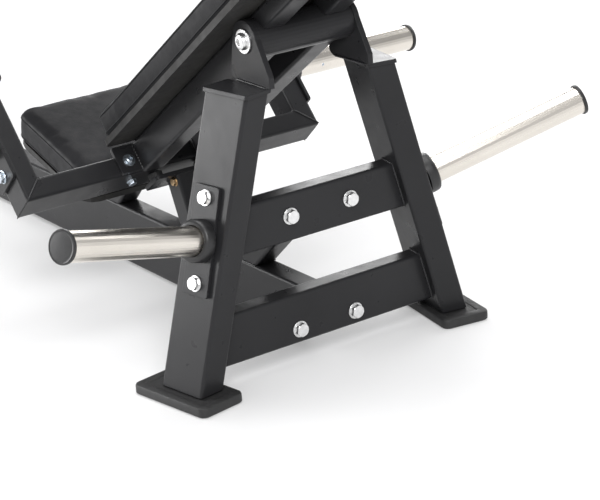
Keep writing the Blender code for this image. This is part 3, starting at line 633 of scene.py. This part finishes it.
def pivot_bolts():
    outer = EAR_IN + EAR_THICK + GAP
    for hand, side in SIDES:
        place = axes(at(side * outer, *PIVOT), (0, 0, 1), (side, 0, 0))
        bolt = dome_bolt("pivot_bolt_detail_" + hand, place, PIVOT_WASHER_RADIUS, 0.0145, 0.0085, BRIGHT,
                         BODY_FRAME)
        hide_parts("pivot_bolt_" + hand)


# ---------------------------------------------------------------- plate horns
def horn_ends(name, base, direction, length, body):
    """Moulded end cap of a horn on each side."""
    for hand, side in SIDES:
        place = axes(sided(base, side), (0, 0, 1), sided(direction, side))
        shape = end_cap(place @ Matrix.Translation((0, 0, length)))
        cap_node = f"{name}_end_cap_{hand}"
        cap = piece(cap_node + "_moulded", shape, PLASTIC, body)
        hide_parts(cap_node)


def end_cap(placement):
    """Cap that slips over the tube: a rolled rim, a shallow groove inside it and a slightly domed face."""
    radius, thick = HORN_CAP_RADIUS + HORN_CAP_LIP, HORN_CAP_THICK
    outside = HORN_RADIUS + 0.0003
    profile = [(0.0, 0.0004), (outside, 0.0004), (outside, -0.0025), (radius - 0.0006, -0.0025),
               (radius, -0.0018), (radius, thick * 0.35), (radius - 0.0006, thick * 0.75),
               (radius - 0.0020, thick * 0.95), (radius - 0.0034, thick * 0.90),
               (radius - 0.0040, thick * 0.80), (radius - 0.0052, thick * 0.82),
               (radius * 0.5, thick * 0.97), (0.0, thick)]
    return turned(profile, placement, 64)


def collars(name, base, direction, normal, body):
    """Moulded stop collars with a fully rounded front, trimmed where they meet the plate."""
    front = COLLAR_LENGTH + HORN_PLATE_THICK
    inner, outer = HORN_RADIUS + 0.0003, COLLAR_OUTER
    section = [(inner, front - 0.0015), (inner + 0.0014, front), (outer - 0.0060, front + 0.0004),
               (outer - 0.0028, front - 0.0012), (outer - 0.0008, front - 0.0042), (outer, front - 0.0085)]
    for hand, side in SIDES:
        place = axes(sided(base, side), (0, 0, 1), sided(direction, side))
        out = sided(normal, side)
        face = sided(base + normal * (HORN_PLATE_THICK + 2.5 * GAP), side)
        shape = collar_shape(section, place, face, out)
        made = piece(name + "_moulded_" + hand, shape, PLASTIC, body)
        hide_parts(f"{name}_{hand}")


def collar_shape(section, placement, face, out, steps=64):
    """A ring of the section given, whose inner and outer walls run back to a plane."""
    way = placement.to_3x3() @ Vector((0, 0, 1))
    shape = bmesh.new()
    loops = []
    for radius, height in [(section[0][0], None)] + section + [(section[-1][0], None)]:
        loop = []
        for a in (2 * pi * i / steps for i in range(steps)):
            point = placement @ Vector((radius * cos(a), radius * sin(a), height or 0.0))
            if height is None:
                point += way * ((face - point).dot(out) / way.dot(out))
            loop.append(shape.verts.new(point))
        loops.append(loop)
    for low, high in zip(loops, loops[1:] + loops[:1]):
        join_loops(shape, low, high)
    return shape


def stop_screws(base):
    """A small socket screw in the back of each load horn, outside its collar."""
    out = Vector((0, cos(STOP_SCREW_DROP), sin(STOP_SCREW_DROP)))
    for hand, side in SIDES:
        spot = sided(base + Vector((STOP_SCREW_REACH, 0, 0)), side) + out * (HORN_RADIUS - 0.0012)
        place = axes(spot, (1, 0, 0), out)
        dome_bolt("stop_screw_" + hand, place, 0.0034, 0.0030, 0.0006, ZINC, BODY_LEVER, 0.0010)


def ring_solid(section, placement, steps=56):
    """A closed section turned all the way round the placement's Z."""
    shape = bmesh.new()
    loops = [[shape.verts.new(placement @ Vector((r * cos(a), r * sin(a), h)))
              for a in (2 * pi * i / steps for i in range(steps))] for r, h in section]
    for low, high in zip(loops, loops[1:] + loops[:1]):
        join_loops(shape, low, high)
    return shape


def horns():
    storage_way = Vector(HORN_DIRECTIONS["storage_left"])
    storage_base = leg_face(STORAGE_Z, LEG_DEPTH / 2)
    load_base = lever_point(LEVER_HALF, LOAD_ALONG, LEVER_TUBE[1] / 2)
    across = Vector((1, 0, 0))
    horn_ends("storage_horn", storage_base, storage_way, STORAGE_LENGTH, BODY_FRAME)
    horn_ends("load_horn", load_base, across, LOAD_LENGTH, BODY_LEVER)
    collars("storage_horn_collar", storage_base, storage_way, leg_normal(), BODY_FRAME)
    collars("load_horn_collar", load_base, across, across, BODY_LEVER)
    stop_screws(load_base)


# ---------------------------------------------------------------- feet
def rear_feet():
    """Rubber feet with a raised rim round a tray that the leg stands in."""
    inward = Vector((-cos(LEG_TURN), -sin(LEG_TURN), 0.0))
    corner = at(LEG_OUT, LEG_REAR, 0.0) - leg_forward() * FOOT_REAR - inward * FOOT_SIDE
    centre = corner + leg_forward() * FOOT_SIZE[1] / 2 + inward * FOOT_SIZE[0] / 2
    for hand, side in SIDES:
        place = Matrix.Translation(sided(centre, side)) @ Matrix.Rotation(side * LEG_TURN, 4, 'Z')
        made = piece("rear_foot_moulded_" + hand, foot_shape(place), RUBBER, BODY_FRAME)
        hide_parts("rear_foot_" + hand)


def foot_shape(placement):
    width, depth, height = FOOT_SIZE
    steps = 8
    layers = ((0.0030, 0.0), (0.0, 0.0025), (0.0, height - 0.0035), (0.0012, height - 0.0010),
              (0.0035, height), (0.0150, height), (0.0165, height - 0.0008), (0.0175, height - 0.0020))
    shape = bmesh.new()
    loops = []
    for inset, z in layers:
        outline = rounded_outline(width - 2 * inset, depth - 2 * inset, max(0.014 - inset, 0.003), steps)
        loops.append([shape.verts.new(placement @ Vector((x, y, z))) for x, y in outline])
    for low, high in zip(loops, loops[1:]):
        join_loops(shape, low, high)
    shape.faces.new(list(reversed(loops[0])))
    shape.faces.new(loops[-1])
    return shape


# ---------------------------------------------------------------- plugs in the open tube ends
def tube_plug(name, placement, width, depth, body):
    """A plastic plug: its flange covers the tube's end, and its stem sits inside."""
    flange = rounded_outline(width - 0.002, depth - 0.002, 0.004, 4)
    stem = rounded_outline(width - 0.0072, depth - 0.0072, 0.003, 4)
    shape = slab_shape(flange, 0.0003, 0.0045, 0.0014, placement)
    merge(shape, slab_shape(stem, -0.012, 0.0006, 0.0002, placement))
    return piece(name, shape, PLASTIC, body)


def plugs():
    wide, deep = LEVER_TUBE
    rail_middle, rail_wide = sum(RAIL_X) / 2, RAIL_X[1] - RAIL_X[0]
    for hand, side in SIDES:
        top = lever_point(side * (LEVER_HALF - wide / 2), LEVER_ARM, deep / 2)
        tube_plug("arm_plug_" + hand, axes(top, (1, 0, 0), arm_dir()), wide, deep, BODY_LEVER)
        end = rail_point(side * rail_middle, RAIL_EXTENSION + GAP, RAIL_N[1] / 2)
        tube_plug("rail_plug_" + hand, axes(end, (1, 0, 0), rail_dir()), rail_wide, RAIL_N[1], BODY_LEVER)


# ---------------------------------------------------------------- foot plate and grips
def foot_tread():
    """A ribbed rubber mat on the foot plate."""
    slope = Vector((0, -cos(TREAD_ANGLE), sin(TREAD_ANGLE)))
    up = Vector((0, sin(TREAD_ANGLE), cos(TREAD_ANGLE)))
    low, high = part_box("foot_plate")
    place = axes(at(0, *TREAD_REAR) + slope * TREAD_MIDDLE + up * TREAD_LIFT, slope.cross(up), up)
    half = (high.x - low.x) / 2 - 0.010
    shape = slab_shape(rounded_outline(2 * half, TREAD_LENGTH, 0.014, 6), 0.0, 0.0022, 0.0008, place)
    count = int(TREAD_LENGTH / TREAD_PITCH)
    for row in range(count):
        rib = place @ Matrix.Translation((0, (row - (count - 1) / 2) * TREAD_PITCH, 0))
        outline = rounded_outline(2 * half - 0.030, 0.007, 0.003, 3)
        merge(shape, slab_shape(outline, 0.0015, 0.0042, 0.0012, rib))
    piece("foot_plate_tread", shape, RUBBER, BODY_FRAME)


def merge(shape, other):
    """Move one bmesh into another."""
    mesh = bpy.data.meshes.new("merged")
    other.to_mesh(mesh)
    other.free()
    shape.from_mesh(mesh)
    bpy.data.meshes.remove(mesh)


def grips():
    """Ribbed sleeves on the side handles."""
    for hand, side in SIDES:
        node = "handle_" + hand
        low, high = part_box(node)
        root = low if side > 0 else high
        length = high.x - low.x
        middle = (low + high) / 2
        place = axes((root.x, middle.y, middle.z), (0, 0, 1), (side, 0, 0))
        profile = [(0.0, 0.0), (0.020, 0.0), (0.020, 0.003), (0.019, 0.004), (0.0125, 0.004),
                   (0.0125, 0.008), (0.0160, 0.009)]
        for rib in range(GRIP_RIBS):
            start = 0.014 + rib * (length - 0.026) / GRIP_RIBS
            step = (length - 0.026) / GRIP_RIBS
            profile += [(0.0166, start), (0.0166, start + 0.55 * step), (0.0156, start + 0.70 * step),
                        (0.0156, start + 0.88 * step)]
        profile += [(0.0168, length - 0.008), (0.0160, length - 0.002), (0.0130, length), (0.0, length)]
        made = piece(node + "_grip", turned(profile, place, 40), RUBBER, BODY_LEVER)
        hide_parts(node)


# ---------------------------------------------------------------- welds
def leg_welds():
    """Beads where the cross members meet the legs."""
    normal = leg_normal()
    point = leg_face(0.2, 0.0) - normal * (LEG_WIDTH + GAP)
    for name, (low, high) in (("upper", (0.231, 0.316)), ("lower", (0.043, 0.134))):
        for hand, side in SIDES:
            corners = [sided(on_leg(point, normal, y, z), side)
                       for y, z in ((0.0006, low), (0.0006, high), (-BEAM_DEPTH, high))]
            weld(f"{name}_member_weld_{hand}", corners, 0.0028, BODY_FRAME)


def on_leg(point, normal, y, z):
    """The point of the left leg's inner face at a distance behind the cross members and a height."""
    place = at(0, y, z)
    reach = (point - place).dot(normal) / normal.x
    return place + Vector((reach, 0, 0))


def ear_welds():
    base = LEG_TOP + CAP_THICK + 2 * GAP
    for hand, side in SIDES:
        for face, x in (("outer", EAR_IN + EAR_THICK), ("inner", EAR_IN)):
            corners = [at(side * x, 0.026, base), at(side * x, -0.070, base)]
            weld(f"ear_{face}_weld_{hand}", corners, 0.0024, BODY_FRAME)


def lever_welds():
    wide, deep = LEVER_TUBE
    for hand, side in SIDES:
        outer = Vector((side * LEVER_HALF, 0, 0))
        inner = Vector((side * (LEVER_HALF - wide), 0, 0))
        for face, depth in (("rear", -0.0002), ("front", deep + 0.0002)):
            corners = [lever_point(outer.x, 0.0, depth), lever_point(inner.x, wide, depth)]
            weld(f"mitre_{face}_weld_{hand}", corners, 0.0018, BODY_LEVER)
        corners = [lever_point(inner.x, wide, 0.0), lever_point(inner.x, wide, deep)]
        weld("mitre_inner_weld_" + hand, corners, 0.0030, BODY_LEVER)
        rail_welds(hand, side)


def rail_welds(hand, side):
    """Beads round the foot of a rail, on its flange."""
    top = -FLANGE_THICK - GAP
    for edge, x in (("outer", RAIL_X[1]), ("inner", RAIL_X[0])):
        low = on_flange(side * x, RAIL_N[0] + 0.004, top)
        high = on_flange(side * x, RAIL_N[1] - 0.004, top)
        weld(f"rail_{edge}_weld_{hand}", [low, high], 0.0026, BODY_LEVER)


def on_flange(x, off, deep):
    """Where a line along a rail, at a height off its middle, meets a plane along the lever."""
    start = rail_point(x, 0.0, off)
    face = lever_point(0, 0, deep)
    reach = (face - start).dot(arm_out()) / rail_dir().dot(arm_out())
    return start + rail_dir() * reach


def pivot_welds():
    """Beads along the pivot tube where the rails' lower walls are coped to it."""
    off = RAIL_N[0]
    reach = -sqrt(PIVOT_RADIUS ** 2 - off ** 2) - 0.0005
    for hand, side in SIDES:
        corners = [rail_point(side * x, reach, off) for x in RAIL_X]
        weld(f"pivot_under_weld_{hand}", corners, 0.0026, BODY_LEVER)


def post_welds():
    """Beads at the feet of the posts and of the brace on the spine."""
    for hand, side in SIDES:
        x = side * (SPINE_HALF - 0.0005)
        for name, rear, front in (("brace", -0.185, -0.252), ("rest_post", -0.433, -0.482)):
            weld(f"{name}_weld_{hand}", [at(x, rear, SPINE_TOP), at(x, front, SPINE_TOP)], 0.0024, BODY_FRAME)


# ---------------------------------------------------------------- padding
def soft_block(width, length, thick, radius, rows):
    """A rounded block with its corners drawn in, as the start of a cushion."""
    shape = bmesh.new()
    steps = 5
    loops = []
    for inset, z in rows:
        outline = rounded_outline(width - 2 * inset, length - 2 * inset, max(radius - inset, 0.004), steps)
        loops.append([shape.verts.new((x, y, z * thick)) for x, y in outline])
    for low, high in zip(loops, loops[1:]):
        join_loops(shape, low, high)
    shape.faces.new(list(reversed(loops[0])))
    shape.faces.new(loops[-1])
    bmesh.ops.triangulate(shape, faces=shape.faces)
    return shape


def simulate(made, cap):
    """Swell a closed cover by cloth simulation, hold each point within the cap, and smooth it once."""
    bpy.context.view_layer.objects.active = made
    remesh = made.modifiers.new("voxels", 'REMESH')
    remesh.mode = 'VOXEL'
    remesh.voxel_size = VOXEL
    freeze(made)
    rest = [v.co.copy() for v in made.data.vertices]
    cloth = made.modifiers.new("cover", 'CLOTH')
    cloth.settings.use_pressure = True
    cloth.settings.uniform_pressure_force = PRESSURE
    cloth.settings.effector_weights.gravity = 0.0
    for step in range(1, SIM_FRAMES + 1):
        bpy.context.scene.frame_set(step)
    freeze(made)
    bpy.context.scene.frame_set(1)
    for vert, start in zip(made.data.vertices, rest):
        move = vert.co - start
        if move.length > cap:
            vert.co = start + move.normalized() * cap
    smooth = made.modifiers.new("smooth", 'SUBSURF')
    smooth.levels = 1
    smooth.render_levels = 1
    freeze(made)
    made.data.shade_smooth()
    return made


def freeze(made):
    """Make what the modifiers give the object's own mesh."""
    graph = bpy.context.evaluated_depsgraph_get()
    graph.update()
    mesh = bpy.data.meshes.new_from_object(made.evaluated_get(graph))
    look = made.data.materials[:]
    made.modifiers.clear()
    made.data = mesh
    if not mesh.materials:
        for one in look:
            mesh.materials.append(one)


def fit_between(made, low, high):
    """Flatten what passes the two heights in the piece's own frame."""
    for vert in made.data.vertices:
        vert.co.z = min(max(vert.co.z, low), high)


def cushion(name, shape, cap, low, high):
    mesh = bpy.data.meshes.new(name)
    bmesh.ops.recalc_face_normals(shape, faces=shape.faces)
    shape.to_mesh(mesh)
    shape.free()
    mesh.materials.append(LEATHER)
    made = bpy.data.objects.new(name, mesh)
    bpy.context.scene.collection.objects.link(made)
    simulate(made, cap)
    fit_between(made, low, high)
    return made


def settle(made, placement, body, node):
    """Put a finished cushion in its place on a body, standing for its CAD node."""
    made.data.transform(placement)
    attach(made, body)
    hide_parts(node)


def seam(name, made, outline, height, placement, body):
    """A sewn welt round the cushion, laid on its surface at a height."""
    shape = bmesh.new()
    points = []
    for x, y in outline:
        start = Vector((x * 1.4, y * 1.4, height))
        found, spot = made.ray_cast(start, Vector((-x, -y, 0)).normalized())[:2]
        points.append(placement @ (spot if found else Vector((x, y, height))))
    tube_along(shape, points, SEAM_RADIUS)
    return piece(name, shape, LEATHER, body, 60)


def tube_along(shape, points, radius, steps=8):
    """A closed loop of round section through the points."""
    loops = []
    count = len(points)
    centre = sum(points, Vector()) / count
    for index, point in enumerate(points):
        way = (points[(index + 1) % count] - points[index - 1]).normalized()
        away = point - centre
        out = (away - way * away.dot(way)).normalized()
        side = way.cross(out)
        loops.append([shape.verts.new(point + out * radius * cos(a) + side * radius * sin(a))
                      for a in (2 * pi * k / steps for k in range(steps))])
    for low, high in zip(loops, loops[1:] + loops[:1]):
        join_loops(shape, low, high)


def back_pad():
    low, high = BACK_ALONG
    length = high - low
    rows = ((0.006, 0.0), (0.001, 0.10), (0.0, 0.5), (0.001, 0.88), (0.007, 1.0))
    shape = soft_block(2 * (BACK_HALF - PAD_INSET), length - 2 * PAD_INSET, BACK_THICK - 0.004, 0.022, rows)
    made = cushion("back_cushion", shape, PAD_SWELL, 0.0, BACK_THICK + 0.006)
    place = axes(rail_point(0, (low + high) / 2, RAIL_N[1] + 2 * GAP + BACK_BOARD), (1, 0, 0), rail_up())
    outline = rounded_outline(2 * BACK_HALF, length, 0.022, 10)
    dense = refine(outline, 0.012)
    seam("back_lower_welt", made, dense, 0.009, place, BODY_LEVER)
    seam("back_upper_welt", made, dense, BACK_THICK - 0.010, place, BODY_LEVER)
    settle(made, place, BODY_LEVER, "back_pad")


def refine(outline, pitch):
    """More points along the straight parts of an outline."""
    points = []
    for (x0, y0), (x1, y1) in zip(outline, outline[1:] + outline[:1]):
        count = max(1, int(sqrt((x1 - x0) ** 2 + (y1 - y0) ** 2) / pitch))
        points += [(x0 + (x1 - x0) * i / count, y0 + (y1 - y0) * i / count) for i in range(count)]
    return points


def seat_pad():
    length = (SEAT_Y[1] - SEAT_Y[0]) / cos(SEAT_TILT)
    rows = ((0.006, 0.0), (0.001, 0.12), (0.0, 0.60), (0.001, 0.88), (0.007, 1.0))
    inset = PAD_INSET / 2
    shape = soft_block(2 * (SEAT_HALF - inset), length - 2 * inset, SEAT_THICK + 0.003, SEAT_CORNER, rows)
    made = cushion("seat_cushion", shape, SEAT_SWELL, 0.0, SEAT_THICK + 0.013)
    up = Vector((0, sin(SEAT_TILT), cos(SEAT_TILT)))
    corner = axes(at(0, SEAT_Y[1], SEAT_Z), (-1, 0, 0), up)
    place = corner @ Matrix.Translation((0, length / 2, -SEAT_THICK))
    dense = refine(rounded_outline(2 * SEAT_HALF, length, SEAT_CORNER, 10), 0.010)
    seam("seat_upper_welt", made, dense, SEAT_THICK - 0.008, place, BODY_FRAME)
    seam("seat_lower_welt", made, dense, 0.008, place, BODY_FRAME)
    settle(made, place, BODY_FRAME, "seat_pad")


def lap_roller():
    """A foam sleeve in a sewn cover, softly crowned, with turned-in ends."""
    centre = lever_point(0, ROLLER_ALONG, LEVER_TUBE[1] / 2)
    place = axes(centre, (0, 0, 1), (1, 0, 0))
    half, radius = ROLLER_HALF, ROLLER_RADIUS
    end = [(ROLLER_BORE, half), (radius * 0.55, half), (radius - 0.016, half - 0.0015),
           (radius - 0.006, half - 0.006), (radius - 0.001, half - 0.016)]
    section = [(r, -along) for r, along in end]
    for t in range(1, 12):
        section.append((radius + 0.001 * sin(pi * t / 12), (-half + 0.016) + (2 * half - 0.032) * t / 12))
    section += list(reversed(end))
    made = piece("lap_sleeve", ring_solid(section, place, 64), LEATHER, BODY_ROLLER, 60)
    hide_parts("lap_roller")
    for hand, side in SIDES:
        ring = [(radius - 0.0105 + SEAM_RADIUS * cos(a), side * (half - 0.0035) + SEAM_RADIUS * sin(a))
                for a in (2 * pi * k / 8 for k in range(8))]
        piece("lap_welt_" + hand, ring_solid(ring, place, 64), LEATHER, BODY_ROLLER, 60)


# ---------------------------------------------------------------- studio
def studio():
    floor = bmesh.new()
    bmesh.ops.create_grid(floor, x_segments=8, y_segments=8, size=FLOOR_HALF)
    mesh = bpy.data.meshes.new("studio_floor")
    floor.to_mesh(mesh)
    floor.free()
    mesh.materials.append(pale_floor())
    ground = bpy.data.objects.new("studio_floor", mesh)
    ground.location.z = -0.0005
    bpy.context.scene.collection.objects.link(ground)
    lamp("key", (1.9, 4.2, 3.6), (0.0, 0.7, 0.3), (2.2, 2.2), 175)
    lamp("fill", (-4.4, -0.2, 3.0), (0.0, 0.6, 0.3), (2.2, 2.0), 70)
    lamp("top", (0.0, 0.0, 4.4), (0.0, 0.0, 0.0), (3.4, 3.4), 135)
    lamp("side", (2.7, -2.3, 0.80), (0.2, 0.8, 0.30), (2.2, 1.4), 105)
    lamp("far_side", (-2.4, -2.8, 2.0), (0.0, 0.6, 0.3), (1.8, 1.2), 45)


def lamp(name, place, aim, size, power):
    data = bpy.data.lights.new(name, 'AREA')
    data.shape = 'RECTANGLE'
    data.size, data.size_y = size
    data.energy = power
    made = bpy.data.objects.new(name, data)
    made.location = place
    made.rotation_mode = 'QUATERNION'
    made.rotation_quaternion = (Vector(aim) - Vector(place)).to_track_quat('-Z', 'Y')
    bpy.context.scene.collection.objects.link(made)


def sky():
    """A soft surround: bright at the horizon, darker above it, bright again overhead."""
    world = bpy.data.worlds.new("surround")
    world.use_nodes = True
    bpy.context.scene.world = world
    nodes, links = world.node_tree.nodes, world.node_tree.links
    place = nodes.new("ShaderNodeTexCoord")
    split = nodes.new("ShaderNodeSeparateXYZ")
    ramp = nodes.new("ShaderNodeValToRGB")
    links.new(place.outputs["Generated"], split.inputs["Vector"])
    links.new(split.outputs["Z"], ramp.inputs["Fac"])
    links.new(ramp.outputs["Color"], nodes["Background"].inputs["Color"])
    nodes["Background"].inputs["Strength"].default_value = 0.56
    stops = ((0.0, 1.95), (0.12, 1.60), (0.32, 0.85), (0.70, 0.60), (1.0, 0.95))
    ramp.color_ramp.elements[0].position = stops[0][0]
    ramp.color_ramp.elements[1].position = stops[-1][0]
    for position, level in stops[1:-1]:
        ramp.color_ramp.elements.new(position)
    for element, (position, level) in zip(ramp.color_ramp.elements, stops):
        element.color = (level, level, level * 1.01, 1.0)


def camera():
    data = bpy.data.cameras.new("camera")
    data.lens = CAMERA_LENS
    data.shift_x, data.shift_y = CAMERA_SHIFT
    data.clip_start, data.clip_end = 0.05, 60.0
    made = bpy.data.objects.new("camera", data)
    ahead = Vector((-sin(CAMERA_YAW) * cos(CAMERA_PITCH), -cos(CAMERA_YAW) * cos(CAMERA_PITCH),
                    -sin(CAMERA_PITCH)))
    level = ahead.cross(Vector((0, 0, 1))).normalized()
    upright = level.cross(ahead)
    right = level * cos(CAMERA_ROLL) + upright * sin(CAMERA_ROLL)
    up = upright * cos(CAMERA_ROLL) - level * sin(CAMERA_ROLL)
    turn = Matrix((right, up, -ahead)).transposed().to_4x4()
    made.matrix_world = Matrix.Translation(CAMERA_PLACE) @ turn
    bpy.context.scene.collection.objects.link(made)
    bpy.context.scene.camera = made


# ---------------------------------------------------------------- build
bpy.context.scene.view_settings.view_transform = 'Standard'
camera()
sky()
studio()
dress_frame()
frame_bolts()
storage_plate_bolts()
load_plate_bolts()
lever_bolts()
post_bolts()
pivot_bolts()
horns()
rear_feet()
plugs()
foot_tread()
grips()
leg_welds()
ear_welds()
lever_welds()
pivot_welds()
post_welds()
back_pad()
seat_pad()
lap_roller()
